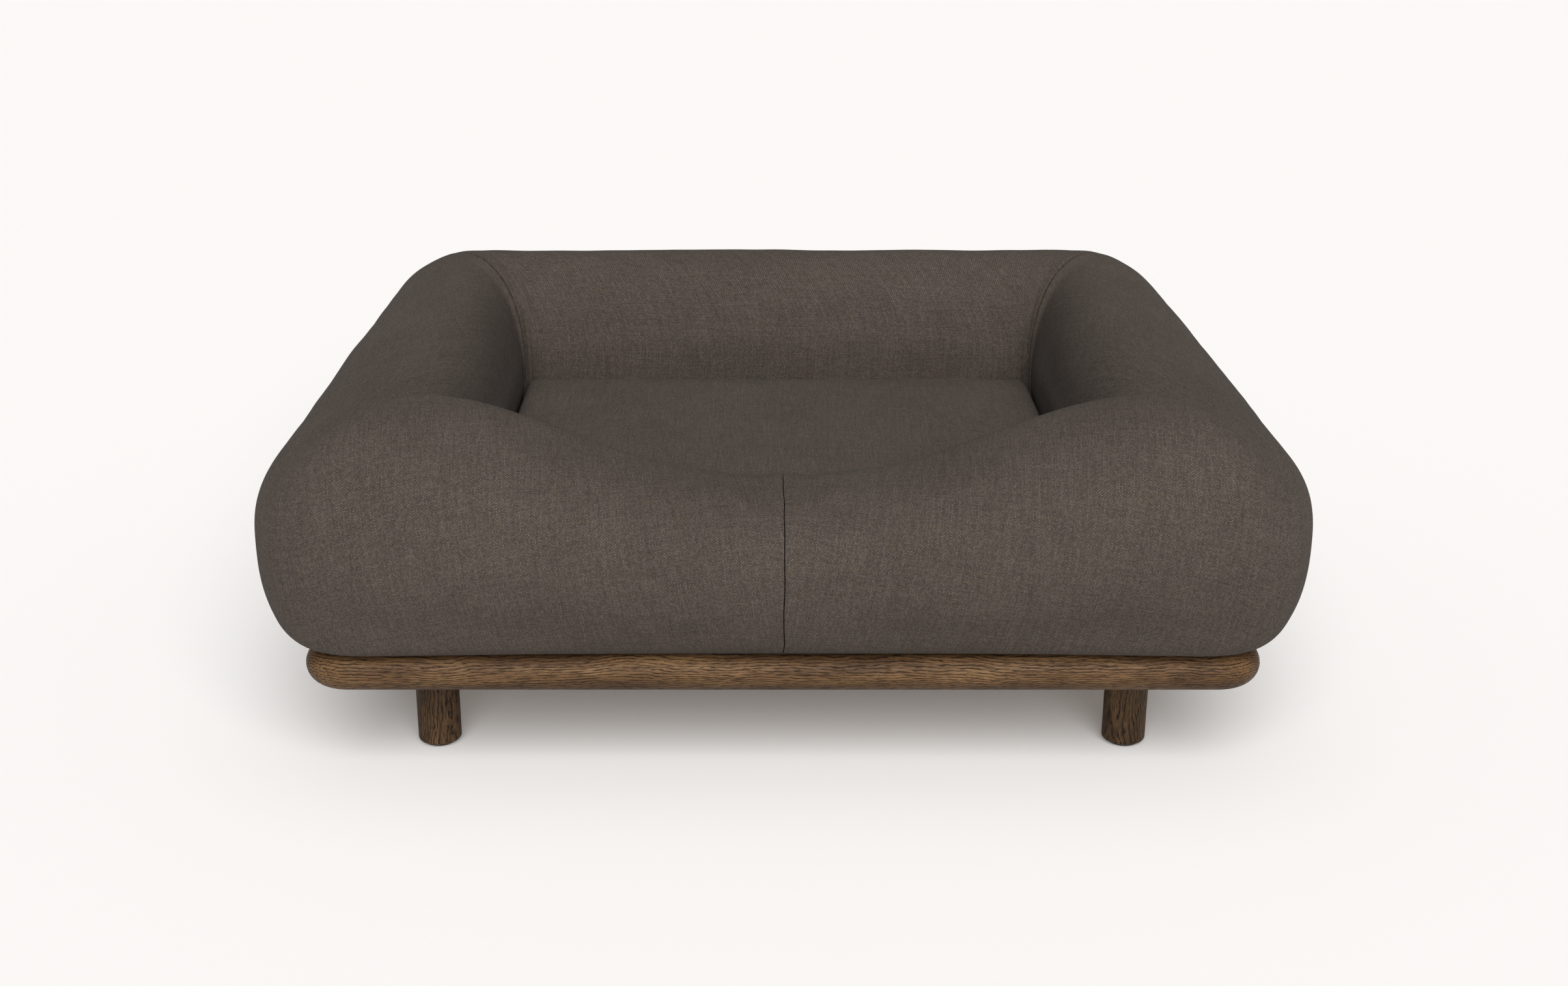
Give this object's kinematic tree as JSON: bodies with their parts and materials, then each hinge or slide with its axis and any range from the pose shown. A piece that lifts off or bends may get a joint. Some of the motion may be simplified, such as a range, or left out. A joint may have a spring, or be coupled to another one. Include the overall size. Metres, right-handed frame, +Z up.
{
  "type": "dog bed with frame",
  "caption": "Raised dog bed: a padded ring with a low entrance and a loose seat cushion, resting on an oak frame with round legs.",
  "frame": {"origin": "on the floor under the middle of the frame", "axes": "+Z up, the entrance faces -Y, +X to the right seen from the front, the long side runs along X"},
  "size_m": [0.978, 0.81, 0.3653],
  "materials": {
    "oak": "satin",
    "oak_inside": "matte",
    "cover_cloth": "matte",
    "grip_cloth": "matte",
    "filling": "matte",
    "felt": "matte",
    "steel": "satin",
    "zip_tape": "matte",
    "zip_coil": "satin",
    "zip_metal": "satin"
  },
  "bodies": {
    "frame": {"front_rail": "oak", "back_rail": "oak", "left_rail": "oak", "right_rail": "oak", "rail_dowels": "oak_inside", "left_bearer": "oak_inside", "right_bearer": "oak_inside", "bearer_dowels": "oak_inside", "slat_1": "oak_inside", "slat_2": "oak_inside", "slat_3": "oak_inside", "slat_4": "oak_inside", "slat_5": "oak_inside", "slat_6": "oak_inside", "slat_7": "oak_inside", "slat_screws": "steel", "front_left_leg": "oak", "front_right_leg": "oak", "back_left_leg": "oak", "back_right_leg": "oak", "leg_bolts": "steel", "leg_inserts": "steel", "leg_glides": "felt"},
    "bed": {"base_cloth": "grip_cloth", "left_roll_cover": "cover_cloth", "right_roll_cover": "cover_cloth", "back_roll_cover": "cover_cloth", "left_side_filling": "filling", "right_side_filling": "filling", "front_left_filling": "filling", "front_right_filling": "filling", "back_filling": "filling", "roll_zip_tape": "zip_tape", "roll_zip_coil": "zip_coil"},
    "cushion": {"seat_cushion_cover": "cover_cloth", "seat_cushion_filling": "filling", "seat_zip_tape": "zip_tape", "seat_zip_coil": "zip_coil"},
    "roll_slider": {"roll_zip_slider": "zip_metal"},
    "roll_pull": {"roll_zip_pull": "zip_metal"},
    "seat_slider": {"seat_zip_slider": "zip_metal"},
    "seat_pull": {"seat_zip_pull": "zip_metal"}
  },
  "joints": [
    {"name": "bed_lift", "type": "slide", "parent": "frame", "child": "bed", "axis": [0, 0, 1], "range_m": [0, 0.3]},
    {"name": "cushion_lift", "type": "slide", "parent": "bed", "child": "cushion", "axis": [0, 0, 1], "range_m": [0, 0.32]},
    {"name": "roll_zip_slide", "type": "slide", "parent": "bed", "child": "roll_slider", "axis": [-1, 0, 0], "range_m": [0, 0.5]},
    {"name": "roll_pull_swing", "type": "hinge", "parent": "roll_slider", "child": "roll_pull", "pos_m": [0.25, 0.40005, 0.1556], "axis": [1, 0, 0], "range_deg": [-15, 80]},
    {"name": "seat_zip_slide", "type": "slide", "parent": "cushion", "child": "seat_slider", "axis": [-1, 0, 0], "range_m": [0, 0.46]},
    {"name": "seat_pull_swing", "type": "hinge", "parent": "seat_slider", "child": "seat_pull", "pos_m": [0.23, 0.21075, 0.1796], "axis": [1, 0, 0], "range_deg": [0, 35]}
  ]
}
